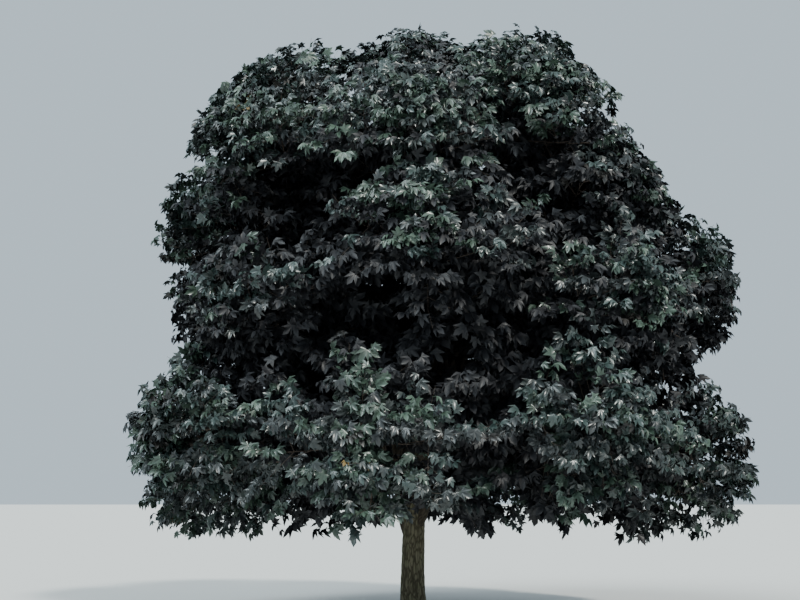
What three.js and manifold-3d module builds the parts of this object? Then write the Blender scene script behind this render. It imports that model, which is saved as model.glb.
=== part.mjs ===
// A purple-leaved maple with a low fork and a dense round crown, built the way it grows:
// a trunk that runs up as a leader, boughs that leave it in a spiral, side boughs that rise
// from the lowest of them, and at the end of each one a mass of foliage that keeps to its own space.
// Millimetres, +Z up, origin in the middle of the trunk's flat cut at ground level.
// The photographed side faces -Y, so the crown's long side is +X.
import * as THREE from "three";
import { mergeVertices } from "three/addons/utils/BufferGeometryUtils.js";
import Module from "manifold-3d";

const wasm = await Module();
wasm.setup();

// Driving dimensions of the crown.
const CROWN = {
  top: 8300, // tip of the highest leaves above the ground
  foot: 1150, // tips of the lowest leaves
  reachX: 4150, // from a tier's axis to its left and right tips, low down
  reachY: 4000, // to its front and back tips
  shoulder: 3600, // the crown is at its widest up to here
  roundness: 2.45, // how square its shoulders are: 2 is an ellipse
};

// Driving dimensions of the trunk, which leans to the crown's long side as a leader.
const TRUNK = {
  tip: 7330,
  lean: [
    [0, 0, 0],
    [15, -10, 1000],
    [90, 20, 2200],
    [330, -30, 3900],
    [900, 40, 5700],
    [1640, 0, 7330],
  ],
  footRadius: 172,
  tipRadius: 20,
  taper: 1.2,
  flare: 85, // how far the root flare stands out at the ground
  flareHeight: 190, // the height over which it dies away
  buttresses: 5,
  sides: 14,
  rings: 13,
};

// The tiers of the crown, from the ground up. Lengths are in millimetres and angles in degrees.
// depth, width and rise are half sizes of a mass: outwards, round the crown, and upwards.
// A mass faces outwards at its tilt above the level. It touches the crown's outline at its height,
// drawn in to the tier's spread about an axis that stands axisX to the right of the trunk's foot.
// zigzag sets a tier's first mass and every other one higher, or lower if it is negative,
// and the rest the other way, so that no gap runs all round.
const TIERS = [
  {
    name: "low",
    limb: "bough",
    count: 8,
    height: 2050,
    zigzag: -200,
    axisX: 300,
    spread: 1,
    firstAzimuth: -104,
    tilt: -12,
    depth: 1650,
    width: 2000,
    rise: 1200,
    leaves: [1060, 1950],
    leaveAngle: 44,
    limbRadius: [66, 27],
    rings: 6,
  },
  {
    name: "middle",
    limb: "side_bough",
    count: 8,
    height: 4150,
    zigzag: -300,
    axisX: 500,
    spread: 0.95,
    firstAzimuth: -55,
    tilt: 2,
    depth: 1750,
    width: 2000,
    rise: 1400,
    parentShare: 0.36,
    leaveAngle: 66,
    limbRadius: [42, 22],
    rings: 5,
  },
  {
    name: "upper",
    limb: "bough",
    count: 7,
    height: 5850,
    zigzag: 270,
    axisX: 40,
    spread: 0.92,
    firstAzimuth: -95,
    tilt: 18,
    depth: 1650,
    width: 2050,
    rise: 1450,
    leaves: [2500, 3900],
    leaveAngle: 58,
    limbRadius: [50, 22],
    rings: 5,
  },
  {
    name: "top",
    limb: "bough",
    count: 4,
    height: 7030,
    zigzag: -120,
    axisX: 150,
    spread: 0.88,
    firstAzimuth: -61,
    tilt: 46,
    depth: 1400,
    width: 2300,
    rise: 1750,
    leaves: [4300, 4900],
    leaveAngle: 60,
    limbRadius: [38, 20],
    rings: 5,
  },
  {
    name: "crest",
    limb: "bough",
    count: 1,
    height: 8040,
    zigzag: 0,
    axisX: 0,
    spread: 0,
    firstAzimuth: 180,
    tilt: 84,
    depth: 1000,
    width: 1900,
    rise: 1900,
    leaves: [5300, 5300],
    leaveAngle: 70,
    limbRadius: [32, 18],
    rings: 5,
  },
];

// The tuft of leaves on the leader's tip stands up above the rest of the crown.
const TUFT = {
  name: "tuft_foliage",
  centre: [1720, 0, 7830],
  depth: 520,
  width: 600,
  rise: 620,
  seed: 900,
  twigNodes: 2,
};

// Fractions and small sizes of the growth rule.
const GROWTH = {
  azimuthJitter: 7,
  heightJitter: 90,
  sizeJitter: 0.08,
  massGap: 70, // between two masses' spaces
  jointGap: 0.3, // between a limb's tip and the stem that carries on from it
  limbGap: 0.6, // round every limb that a neighbour is cut clear of
  leafToLimb: 45, // a leaf nearer to a limb than this is skipped
  coreCentre: 0.34, // a core sits this share of the way from its mass's heart to the outside
  coreShare: { outward: 0.48, across: 0.9, inward: 0.2 }, // of the room there is from that centre
  coreLumps: 0.08,
  stemShare: 0.5,
  twigNodes: 4,
  twigStart: 0.62,
  twigEnd: 0.94,
  twigSplay: [76, 36],
  twigRoll: 24,
  twigReach: [0.66, 0.1],
  twigRadius: 22,
  bladeLength: [0.23, 0.48], // shares of a mass's depth: a blade takes the room it has between these
  bladeShape: { width: 0.86, thickness: 0.05, shoulder: 0.05, fold: 0.1, droop: 0.14 },
  bladeSink: 90, // how far the end blade's root runs back over the twig's tip
  bladeTurn: 62,
};

const COLOURS = { bark: 0x4a4238, foliage: 0x2a2428 };

const UP = new THREE.Vector3(0, 0, 1);
const radians = THREE.MathUtils.degToRad;
const lerp = THREE.MathUtils.lerp;

// A small seeded generator of numbers from 0 to 1, so that every run grows the same tree.
function seededDraws(seed) {
  let state = (seed * 2654435761) >>> 0;
  return () => {
    state = (Math.imul(state, 1664525) + 1013904223) >>> 0;
    return state / 4294967296;
  };
}

// Horizontal distance from a tier's axis to the crown's outline, at an azimuth and a height.
function crownReach(azimuth, height) {
  const level =
    1 / Math.hypot(Math.cos(azimuth) / CROWN.reachX, Math.sin(azimuth) / CROWN.reachY);
  const over = Math.max(0, height - CROWN.shoulder) / (CROWN.top - CROWN.shoulder);
  return level * (1 - over ** CROWN.roundness) ** (1 / CROWN.roundness);
}

// The room that one mass may fill: an ellipsoid with flat walls towards its neighbours.
function makeSpace(centre, outward, depth, width, rise) {
  const round = new THREE.Vector3().crossVectors(UP, outward).normalize();
  const upward = new THREE.Vector3().crossVectors(outward, round).normalize();
  return {
    centre,
    axes: [outward, round, upward],
    halves: [depth, width, rise],
    walls: [{ normal: new THREE.Vector3(0, 0, -1), limit: centre.z - CROWN.foot }],
  };
}

function supportOf(space, direction) {
  return Math.hypot(...space.axes.map((a, i) => a.dot(direction) * space.halves[i]));
}

// Puts a pair of facing walls where two spaces would meet, so that no two can overlap.
function partSpaces(spaces) {
  spaces.forEach((a, i) =>
    spaces.slice(i + 1).forEach((b) => {
      const normal = b.centre.clone().sub(a.centre);
      const apart = normal.length();
      normal.normalize();
      const reachA = supportOf(a, normal);
      const wallAt = (apart * reachA) / (reachA + supportOf(b, normal));
      const half = GROWTH.massGap / 2;
      a.walls.push({ normal, limit: wallAt - half });
      b.walls.push({ normal: normal.clone().negate(), limit: apart - wallAt - half });
    }),
  );
}

// How far one can go from a point inside a space before leaving it.
function roomAlong(space, from, direction) {
  const offset = from.clone().sub(space.centre);
  const o = space.axes.map((a, i) => offset.dot(a) / space.halves[i]);
  const d = space.axes.map((a, i) => direction.dot(a) / space.halves[i]);
  const dd = d[0] ** 2 + d[1] ** 2 + d[2] ** 2;
  const od = o[0] * d[0] + o[1] * d[1] + o[2] * d[2];
  const oo = o[0] ** 2 + o[1] ** 2 + o[2] ** 2;
  let room = (-od + Math.sqrt(Math.max(0, od * od - dd * (oo - 1)))) / dd;
  for (const { normal, limit } of space.walls) {
    const speed = normal.dot(direction);
    if (speed > 1e-6) room = Math.min(room, (limit - normal.dot(offset)) / speed);
  }
  return Math.max(0, room);
}

function isInside(space, point) {
  const offset = point.clone().sub(space.centre);
  const scaled = space.axes.map((a, i) => offset.dot(a) / space.halves[i]);
  if (Math.hypot(...scaled) > 1) return false;
  return space.walls.every(({ normal, limit }) => normal.dot(offset) <= limit);
}

// Places the masses of one tier under the crown's outline.
function layTier(tier, tierIndex) {
  return Array.from({ length: tier.count }, (_, k) => {
    const draw = seededDraws(100 * (tierIndex + 1) + k);
    const azimuth = radians(
      tier.firstAzimuth + (360 / tier.count) * k + GROWTH.azimuthJitter * (2 * draw() - 1),
    );
    const swing = k % 2 === 0 ? tier.zigzag : -tier.zigzag;
    const height = tier.height + swing + GROWTH.heightJitter * (2 * draw() - 1);
    const size = 1 + GROWTH.sizeJitter * (2 * draw() - 1);
    const away = new THREE.Vector3(Math.cos(azimuth), Math.sin(azimuth), 0);
    const tilt = radians(tier.tilt);
    const outward = away.clone().multiplyScalar(Math.cos(tilt)).addScaledVector(UP, Math.sin(tilt));
    const reach = tier.spread * crownReach(azimuth, height);
    const centre = new THREE.Vector3(tier.axisX, 0, height);
    centre.addScaledVector(away, reach).addScaledVector(outward, -tier.depth * size);
    return {
      name: `${tier.name}_foliage_${k + 1}`,
      tier,
      index: k,
      space: makeSpace(centre, outward, tier.depth * size, tier.width * size, tier.rise * size),
      seed: 7 * (100 * tierIndex + k) + 3,
      nodes: GROWTH.twigNodes,
    };
  });
}

// Limbs are described by their centreline and the radius at each end.
const trunkLine = new THREE.CatmullRomCurve3(
  TRUNK.lean.map((p) => new THREE.Vector3(...p)),
  false,
  "centripetal",
);

function trunkPointAt(height) {
  let low = 0;
  let high = 1;
  for (let step = 0; step < 30; step += 1) {
    const middle = (low + high) / 2;
    if (trunkLine.getPoint(middle).z < height) low = middle;
    else high = middle;
  }
  return trunkLine.getPoint(low);
}

// The radius of the trunk's round wood at a height, without the root flare.
function trunkRadiusAt(height) {
  const up = height / TRUNK.tip;
  return lerp(TRUNK.footRadius, TRUNK.tipRadius, up ** TRUNK.taper);
}

function limbLine(foot, leaveDirection, tip, tipDirection) {
  const span = foot.distanceTo(tip);
  return new THREE.CubicBezierCurve3(
    foot,
    foot.clone().addScaledVector(leaveDirection, span * 0.38),
    tip.clone().addScaledVector(tipDirection, -span * 0.34),
    tip,
  );
}

// A limb runs from the trunk, or from a lower bough, to the near edge of its mass's space.
function limbOf(mass, parents) {
  const { tier, space, index } = mass;
  const outward = space.axes[0];
  const inward = outward.clone().negate();
  const tip = space.centre.clone().addScaledVector(inward, roomAlong(space, space.centre, inward));
  let foot;
  if (tier.leaves) {
    const turn = ((index * 3 + 6) % tier.count) / Math.max(1, tier.count - 1);
    foot = trunkPointAt(lerp(tier.leaves[0], tier.leaves[1], turn));
  } else {
    foot = parents[index].line.getPointAt(tier.parentShare);
  }
  const heading = tip.clone().sub(foot).setZ(0).normalize();
  const angle = radians(tier.leaveAngle);
  const leave = heading.multiplyScalar(Math.cos(angle)).addScaledVector(UP, Math.sin(angle));
  return {
    name: `${tier.name}_${tier.limb}_${index + 1}`,
    line: limbLine(foot, leave, tip, outward),
    radii: tier.limbRadius,
    sides: 5,
    rings: tier.rings,
  };
}

// Turns a three.js geometry into a closed solid that can be joined and cut.
function solidFrom(geometry) {
  const bare = geometry.clone();
  bare.deleteAttribute("normal");
  bare.deleteAttribute("uv");
  const merged = mergeVertices(bare, 1e-3);
  return new wasm.Manifold(
    new wasm.Mesh({
      numProp: 3,
      vertProperties: new Float32Array(merged.attributes.position.array),
      triVerts: new Uint32Array(merged.index.array),
    }),
  );
}

function geometryFrom(solid) {
  const mesh = solid.getMesh();
  const positions = new Float32Array(mesh.numVert * 3);
  for (let i = 0; i < mesh.numVert; i += 1) {
    positions.set(mesh.vertProperties.subarray(i * mesh.numProp, i * mesh.numProp + 3), i * 3);
  }
  const geometry = new THREE.BufferGeometry();
  geometry.setAttribute("position", new THREE.BufferAttribute(positions, 3));
  geometry.setIndex(new THREE.BufferAttribute(new Uint32Array(mesh.triVerts), 1));
  geometry.computeVertexNormals();
  return geometry;
}

function largestPiece(solid) {
  return solid.decompose().reduce((a, b) => (b.volume() > a.volume() ? b : a));
}

// A cylinder whose rings are carried onto a curve, with the radius given ring by ring.
function tubeOn(line, sides, rings, radiusAt) {
  const geometry = new THREE.CylinderGeometry(1, 1, 1, sides, rings);
  const { normals, binormals } = line.computeFrenetFrames(rings, false);
  const position = geometry.getAttribute("position");
  const point = new THREE.Vector3();
  for (let i = 0; i < position.count; i += 1) {
    const t = position.getY(i) + 0.5;
    const radius = radiusAt(t);
    const ring = Math.round(t * rings);
    line.getPointAt(t, point);
    point.addScaledVector(normals[ring], position.getX(i) * radius);
    point.addScaledVector(binormals[ring], -position.getZ(i) * radius);
    position.setXYZ(i, point.x, point.y, point.z);
  }
  return geometry;
}

function limbGeometry(limb, extra = 0) {
  const [footRadius, tipRadius] = limb.radii;
  const radiusAt = (t) => lerp(footRadius, tipRadius, t ** 0.8) + extra;
  return tubeOn(limb.line, limb.sides, limb.rings, radiusAt);
}

// The trunk keeps level rings, so that its foot is one flat cut on the ground.
function trunkGeometry(extra = 0) {
  const geometry = new THREE.CylinderGeometry(1, 1, 1, TRUNK.sides, TRUNK.rings);
  geometry.rotateX(Math.PI / 2);
  const position = geometry.getAttribute("position");
  for (let i = 0; i < position.count; i += 1) {
    const height = TRUNK.tip * (position.getZ(i) + 0.5) ** 1.7;
    const across = position.getX(i);
    const along = position.getY(i);
    const around = Math.atan2(along, across);
    const ridge = 0.7 + 0.3 * Math.cos(TRUNK.buttresses * around + 0.6);
    const flare = TRUNK.flare * ridge * Math.exp(-height / TRUNK.flareHeight);
    const radius = trunkRadiusAt(height) + flare + extra;
    const middle = trunkPointAt(height);
    position.setXYZ(i, middle.x + across * radius, middle.y + along * radius, height);
  }
  return geometry;
}

// The stem and twigs of a mass: opposite pairs, each pair turned a quarter from the last,
// as maples branch. Every draw is made whether or not its twig is used.
function growTwigs(mass) {
  const { space, foot, seed, nodes } = mass;
  const draw = seededDraws(seed);
  const [outward, round, upward] = space.axes;
  const heart = space.centre;
  const stemReach = GROWTH.stemShare * roomAlong(space, heart, outward);
  const stemTip = heart.clone().addScaledVector(outward, stemReach);
  const twigs = [];
  const grow = (start, direction, sides) => {
    const share = GROWTH.twigReach[0] + GROWTH.twigReach[1] * draw();
    const reach = roomAlong(space, start, direction);
    twigs.push({ start, direction, reach, sides, length: reach * share });
  };
  for (let node = 0; node < nodes; node += 1) {
    const share = node / (nodes - 1);
    const start = foot.clone().lerp(stemTip, lerp(GROWTH.twigStart, GROWTH.twigEnd, share));
    const splay = radians(lerp(GROWTH.twigSplay[0], GROWTH.twigSplay[1], share));
    for (let side = 0; side < 2; side += 1) {
      const roll = radians(90 * node + 180 * side + GROWTH.twigRoll * (2 * draw() - 1));
      const direction = outward.clone().multiplyScalar(Math.cos(splay));
      direction.addScaledVector(round, Math.sin(splay) * Math.cos(roll));
      direction.addScaledVector(upward, Math.sin(splay) * Math.sin(roll));
      grow(start, direction.normalize(), node === 2 ? [0, 1, -1] : [0]);
    }
  }
  grow(stemTip, outward.clone(), [0, 1, -1]);
  return { stemTip, twigs, draw };
}

// A mass's core is a lens that follows the crown's surface, where the leaves crowd in the light.
function coreGeometry(space, draw) {
  const geometry = new THREE.IcosahedronGeometry(1, 1);
  geometry.deleteAttribute("normal");
  geometry.deleteAttribute("uv");
  const ball = mergeVertices(geometry, 1e-3);
  const position = ball.getAttribute("position");
  const { outward, across, inward } = GROWTH.coreShare;
  const outside = roomAlong(space, space.centre, space.axes[0]);
  const middle = space.centre.clone().addScaledVector(space.axes[0], GROWTH.coreCentre * outside);
  const direction = new THREE.Vector3();
  for (let i = 0; i < position.count; i += 1) {
    const facing = position.getX(i);
    direction.set(0, 0, 0);
    direction.addScaledVector(space.axes[0], facing);
    direction.addScaledVector(space.axes[1], position.getY(i));
    direction.addScaledVector(space.axes[2], position.getZ(i));
    const room = roomAlong(space, middle, direction);
    const share = facing > 0 ? lerp(across, outward, facing) : lerp(across, inward, -facing);
    const reach = share * room * (1 + GROWTH.coreLumps * (2 * draw() - 1));
    direction.multiplyScalar(reach).add(middle);
    position.setXYZ(i, direction.x, direction.y, direction.z);
  }
  return ball;
}

// One blade stands for a spray of leaves: a folded, drooping kite of eight faces.
function bladeGeometry(root, direction, above, length) {
  const { width, thickness, shoulder, fold, droop } = GROWTH.bladeShape;
  const geometry = new THREE.OctahedronGeometry(1, 0);
  const position = geometry.getAttribute("position");
  for (let i = 0; i < position.count; i += 1) {
    const x = position.getX(i);
    const y = position.getY(i);
    const z = position.getZ(i);
    const along = (x + 1) / 2 - shoulder * Math.abs(y);
    const lower = fold * Math.abs(y) + droop * Math.max(0, x);
    const across = (width * y) / 2;
    position.setXYZ(i, length * along, length * across, length * ((thickness * z) / 2 - lower));
  }
  const side = new THREE.Vector3().crossVectors(above, direction).normalize();
  const normal = new THREE.Vector3().crossVectors(direction, side);
  const frame = new THREE.Matrix4().makeBasis(direction, side, normal);
  frame.setPosition(root);
  return geometry.applyMatrix4(frame);
}

function cornersOf(geometry) {
  const position = geometry.getAttribute("position");
  const places = Array.from({ length: position.count }, (_, i) => i);
  return places.map((i) => new THREE.Vector3().fromBufferAttribute(position, i));
}

// The wood of all limbs as points with a radius, for keeping leaves away from them.
function woodPoints(limbs) {
  const points = [];
  for (const { line, radii } of limbs) {
    for (const t of Array.from({ length: 25 }, (_, i) => i / 24)) {
      points.push({ at: line.getPointAt(t), radius: lerp(radii[0], radii[1], t) });
    }
  }
  return points;
}

function touchesWood(points, corners) {
  return corners.some((corner) =>
    points.some(({ at, radius }) => at.distanceTo(corner) < radius + GROWTH.leafToLimb),
  );
}

// The blades of one twig: one that carries the twig on to the edge of the space and, on the twigs
// that spread sideways, one on either side of it.
function bladesOf(twig, space, wood, draw) {
  const { start, direction, length, reach, sides } = twig;
  const [shortest, longest] = GROWTH.bladeLength.map((share) => share * space.halves[0]);
  const out = start.clone().addScaledVector(direction, reach).sub(space.centre).normalize();
  const above = out.clone().addScaledVector(UP, 1.1).normalize();
  const across = new THREE.Vector3().crossVectors(above, direction).normalize();
  const blades = [];
  for (const side of sides) {
    const spread = radians(side * GROWTH.bladeTurn + 8 * (2 * draw() - 1));
    const sunk = side === 0 ? GROWTH.bladeSink : 0.15 * length;
    const root = start.clone().addScaledVector(direction, length - sunk);
    const heading = direction.clone().multiplyScalar(Math.cos(spread));
    heading.addScaledVector(across, Math.sin(spread)).normalize();
    const room = roomAlong(space, root, heading);
    for (const share of [1, 0.85, 0.7]) {
      const size = share * Math.min(longest, room);
      if (size < shortest) break;
      const blade = bladeGeometry(root, heading, above, size);
      const corners = cornersOf(blade);
      if (corners.every((corner) => isInside(space, corner)) && !touchesWood(wood, corners)) {
        blades.push(blade);
        break;
      }
    }
  }
  return blades;
}

// A straight three-sided twig that ends in a point.
function twigGeometry(twig) {
  const geometry = new THREE.ConeGeometry(GROWTH.twigRadius, twig.length, 3, 1);
  geometry.translate(0, twig.length / 2, 0);
  const turn = new THREE.Quaternion().setFromUnitVectors(new THREE.Vector3(0, 1, 0), twig.direction);
  geometry.applyQuaternion(turn);
  return geometry.translate(twig.start.x, twig.start.y, twig.start.z);
}

// One mass: its stem, core, twigs and blades fused into one solid and cut clear of the limbs.
function massSolid(mass, wood, limbSolids) {
  const { space, foot, stemRadius } = mass;
  const { stemTip, twigs, draw } = growTwigs(mass);
  const stem = new THREE.LineCurve3(foot, stemTip);
  const stemTube = tubeOn(stem, 5, 1, (t) => lerp(stemRadius, 12, t));
  const geometries = [coreGeometry(space, draw)];
  for (const twig of twigs) {
    geometries.push(twigGeometry(twig), ...bladesOf(twig, space, wood, draw));
  }
  let solid = solidFrom(stemTube);
  for (const geometry of geometries) solid = solid.add(solidFrom(geometry));
  for (const limb of limbSolids) solid = solid.subtract(limb);
  return largestPiece(solid);
}

// Lay out the whole tree before any of it is made solid.
const tiers = TIERS.map(layTier);
const tuft = {
  name: TUFT.name,
  space: makeSpace(
    new THREE.Vector3(...TUFT.centre),
    new THREE.Vector3(1, 0, 0),
    TUFT.depth,
    TUFT.width,
    TUFT.rise,
  ),
  seed: TUFT.seed,
  nodes: TUFT.twigNodes,
};
const masses = [...tiers.flat(), tuft];
partSpaces(masses.map((mass) => mass.space));

const limbs = [];
for (const tier of tiers) {
  const parents = limbs.slice(-tier.length);
  for (const mass of tier) {
    const limb = limbOf(mass, parents);
    mass.foot = limb.line.getPointAt(1).addScaledVector(limb.line.getTangentAt(1), GROWTH.jointGap);
    mass.stemRadius = limb.radii[1];
    limbs.push(limb);
  }
}
tuft.foot = trunkPointAt(TRUNK.tip).addScaledVector(UP, GROWTH.jointGap);
tuft.stemRadius = TRUNK.tipRadius;

// Make the wood: each limb is cut clear of the trunk and of the limbs made before it.
const tree = new THREE.Group();
const materials = {
  bark: new THREE.MeshStandardMaterial({ color: COLOURS.bark, roughness: 0.9, metalness: 0 }),
  foliage: new THREE.MeshStandardMaterial({ color: COLOURS.foliage, roughness: 0.45, metalness: 0 }),
};

// Adds a named mesh whose own origin is where the piece is attached.
function addPart(parent, name, geometry, anchor, material) {
  geometry.translate(-anchor.x, -anchor.y, -anchor.z);
  const mesh = new THREE.Mesh(geometry, material);
  mesh.name = name;
  mesh.position.copy(anchor);
  parent.add(mesh);
}

const wood = new THREE.Group();
const foliage = new THREE.Group();
tree.add(wood, foliage);
addPart(wood, "trunk", trunkGeometry(), new THREE.Vector3(), materials.bark);

const grown = [solidFrom(trunkGeometry(GROWTH.limbGap))];
for (const limb of limbs) {
  let solid = solidFrom(limbGeometry(limb));
  for (const other of grown) solid = solid.subtract(other);
  solid = largestPiece(solid);
  grown.push(solidFrom(limbGeometry(limb, GROWTH.limbGap)));
  addPart(wood, limb.name, geometryFrom(solid), limb.line.getPointAt(0), materials.bark);
}

const trunkWood = { line: trunkLine, radii: [TRUNK.footRadius, TRUNK.tipRadius] };
const woodSpots = woodPoints([...limbs, trunkWood]);
for (const mass of masses) {
  const nearWood = woodSpots.filter(({ at }) => at.distanceTo(mass.space.centre) < 2600);
  const solid = massSolid(mass, nearWood, grown);
  addPart(foliage, mass.name, geometryFrom(solid), mass.foot, materials.foliage);
}

export default tree;
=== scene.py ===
# %% [markdown]
# # A purple-leaved maple, dressed for its portrait
#
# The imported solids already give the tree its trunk, its boughs and the room that each mass of
# foliage fills. This lesson puts the living surface on them: furrowed bark on the wood, and
# tens of thousands of lobed leaves on twigs that grow by the same rule as the solids.
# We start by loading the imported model, because every later piece has to stay inside it.

import math

import bmesh
import bpy
import numpy as np
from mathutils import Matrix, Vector, noise


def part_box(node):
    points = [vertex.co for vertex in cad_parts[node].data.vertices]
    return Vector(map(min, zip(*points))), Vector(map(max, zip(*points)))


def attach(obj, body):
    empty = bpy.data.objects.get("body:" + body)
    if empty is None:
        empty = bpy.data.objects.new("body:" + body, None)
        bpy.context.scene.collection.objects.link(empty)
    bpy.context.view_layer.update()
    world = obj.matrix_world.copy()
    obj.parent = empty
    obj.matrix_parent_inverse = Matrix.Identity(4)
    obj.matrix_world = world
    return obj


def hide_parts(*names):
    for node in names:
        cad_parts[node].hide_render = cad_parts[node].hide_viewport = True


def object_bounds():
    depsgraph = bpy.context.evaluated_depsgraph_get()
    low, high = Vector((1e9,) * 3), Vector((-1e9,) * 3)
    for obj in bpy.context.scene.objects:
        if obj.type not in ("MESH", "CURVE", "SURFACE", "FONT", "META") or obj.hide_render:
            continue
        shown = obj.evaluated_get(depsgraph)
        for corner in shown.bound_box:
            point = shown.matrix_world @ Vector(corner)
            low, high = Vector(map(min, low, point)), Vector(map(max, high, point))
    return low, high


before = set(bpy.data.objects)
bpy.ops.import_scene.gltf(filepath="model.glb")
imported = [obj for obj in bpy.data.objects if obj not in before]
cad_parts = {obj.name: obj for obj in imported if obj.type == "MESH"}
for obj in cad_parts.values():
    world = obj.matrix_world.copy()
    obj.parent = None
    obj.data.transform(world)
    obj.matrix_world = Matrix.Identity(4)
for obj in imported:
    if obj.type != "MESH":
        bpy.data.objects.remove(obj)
size_at_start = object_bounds()
print("nodes", len(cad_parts), "size at the start", size_at_start)

# %% [markdown]
# ## The numbers the tree grows from
#
# A tree isn't drawn point by point. It follows from a few sizes: where the crown's outline runs,
# how the trunk leans, and how many masses of foliage stand in each tier. These are the same named
# sizes as the solids have, here in metres, so whatever grows from them lands where the solids are.

# %% Name the sizes of the crown, the trunk and the tiers
CROWN = dict(top=8.3, foot=1.15, reach_x=4.15, reach_y=4.0, shoulder=3.6, roundness=2.45)
TRUNK = dict(tip=7.33, foot_radius=0.172, tip_radius=0.02, taper=1.2)
TRUNK.update(flare=0.085, flare_height=0.19, buttresses=5)
TRUNK_LEAN = np.array([(0, 0, 0), (0.015, -0.01, 1.0), (0.09, 0.02, 2.2),
                       (0.33, -0.03, 3.9), (0.9, 0.04, 5.7), (1.64, 0, 7.33)])
# Lengths are in metres and angles in degrees. Halves are a mass's half sizes outwards, across and
# up. A tier's limbs leave the trunk between two heights, or at a share of a lower limb's length.
TIERS = [
    dict(name="low", count=8, height=2.05, zigzag=-0.2, axis_x=0.3, spread=1.0, first=-104, tilt=-12,
         halves=(1.65, 2.0, 1.2), limb="bough", leaves=(1.06, 1.95), angle=44, radii=(0.066, 0.027)),
    dict(name="middle", count=8, height=4.15, zigzag=-0.3, axis_x=0.5, spread=0.95, first=-55, tilt=2,
         halves=(1.75, 2.0, 1.4), limb="side_bough", share=0.36, angle=66, radii=(0.042, 0.022)),
    dict(name="upper", count=7, height=5.85, zigzag=0.27, axis_x=0.04, spread=0.92, first=-95, tilt=18,
         halves=(1.65, 2.05, 1.45), limb="bough", leaves=(2.5, 3.9), angle=58, radii=(0.05, 0.022)),
    dict(name="top", count=4, height=7.03, zigzag=-0.12, axis_x=0.15, spread=0.88, first=-61, tilt=46,
         halves=(1.4, 2.3, 1.75), limb="bough", leaves=(4.3, 4.9), angle=60, radii=(0.038, 0.02)),
    dict(name="crest", count=1, height=8.04, zigzag=0, axis_x=0, spread=0, first=180, tilt=84,
         halves=(1.0, 1.9, 1.9), limb="bough", leaves=(5.3, 5.3), angle=70, radii=(0.032, 0.018)),
]
TUFT = dict(name="tuft_foliage", centre=(1.72, 0, 7.83), halves=(0.52, 0.6, 0.62), seed=900, nodes=2)
GROWTH = dict(azimuth_jitter=7, height_jitter=0.09, size_jitter=0.08, mass_gap=0.07, joint_gap=0.0003,
              stem_share=0.5, nodes=4, start=0.62, end=0.94, splay=(76, 36), roll=24, reach=(0.66, 0.1))
UP = np.array([0.0, 0.0, 1.0])
print("masses in each tier:", [tier["count"] for tier in TIERS])

# %% [markdown]
# ## Chance that repeats
#
# Growth needs chance, but the tree must come out the same on every run. A tiny seeded generator
# gives the solids and this lesson the same draws. Some helpers for directions come with it.

# %% Draw seeded numbers and handle directions

WORD = 2**32
TINY = 1e-6  # keeps a division or a cross product away from zero


def seeded_draws(seed):
    """An endless row of draws between 0 and 1, always the same for one seed."""
    state = seed * 2654435761 % WORD
    while True:
        state = (state * 1664525 + 1013904223) % WORD
        yield state / WORD


def unit(vectors):
    lengths = np.linalg.norm(vectors, axis=-1, keepdims=True)
    return vectors / np.maximum(lengths, 1e-9)


def blend(a, b, share):
    return a + (b - a) * share


print("the first draw of seed 1:", next(seeded_draws(1)))

# %% [markdown]
# ## Room for every mass
#
# Each mass of foliage owns a space: an ellipsoid under the crown's outline, with flat walls where
# it would run into its neighbours. We only ever ask a space two things: how far can a twig go from
# here in that direction, and is this leaf still inside? Both are sums on whole arrays of points.

# %% Describe the space of a mass

STRAIGHT_DOWN = -0.999  # a wall that faces down is the crown's level foot


class Space:
    def __init__(self, centre, outward, halves):
        across = unit(np.cross(UP, outward))
        self.centre = np.array(centre, float)
        self.axes = np.array([outward, across, unit(np.cross(outward, across))])
        self.halves = np.array(halves, float)
        self.walls = [(-UP, self.centre[2] - CROWN["foot"])]

    def support(self, direction):
        return np.linalg.norm(self.axes @ direction * self.halves)

    def close(self):
        self.normals = np.array([wall[0] for wall in self.walls])
        self.limits = np.array([wall[1] for wall in self.walls])

    def room(self, starts, directions):
        """The way left to the ellipsoid, which is a unit ball in its own axes, or to a wall."""
        offset = np.atleast_2d(starts) - self.centre
        directions = np.atleast_2d(directions)
        place = offset @ self.axes.T / self.halves
        way = directions @ self.axes.T / self.halves
        way_squared = (way * way).sum(1)
        along_way = (place * way).sum(1)
        place_squared = (place * place).sum(1)
        root = np.sqrt(np.maximum(0, along_way * along_way - way_squared * (place_squared - 1)))
        reach = (root - along_way) / way_squared
        speed = directions @ self.normals.T
        left = self.limits - offset @ self.normals.T
        walls = np.where(speed > TINY, left / np.maximum(speed, TINY), np.inf)
        return np.maximum(0, np.minimum(reach, walls.min(1)))

    def loosen(self, gap):
        """Let sprays reach a little way in among the neighbour's, as they do on a real crown."""
        self.limits = self.limits + np.where(self.normals[:, 2] < STRAIGHT_DOWN, 0.0, gap)

    def holds(self, points, slack=0.0):
        offset = points - self.centre
        inside = np.linalg.norm(offset @ self.axes.T / (self.halves + slack), axis=-1) <= 1
        return inside & (offset @ self.normals.T <= self.limits + slack).all(-1)


def part_spaces(spaces):
    """Put a pair of facing walls wherever two spaces would meet."""
    half_gap = GROWTH["mass_gap"] / 2
    for i, a in enumerate(spaces):
        for b in spaces[i + 1:]:
            apart = np.linalg.norm(b.centre - a.centre)
            normal = unit(b.centre - a.centre)
            share = a.support(normal) / (a.support(normal) + b.support(normal))
            a.walls.append((normal, apart * share - half_gap))
            b.walls.append((-normal, apart * (1 - share) - half_gap))
    for space in spaces:
        space.close()


ball = Space((0, 0, 4), np.array([1.0, 0, 0]), (1, 1, 1))
ball.close()
print("room from a ball's centre:", ball.room(ball.centre, UP)[0])

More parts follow.
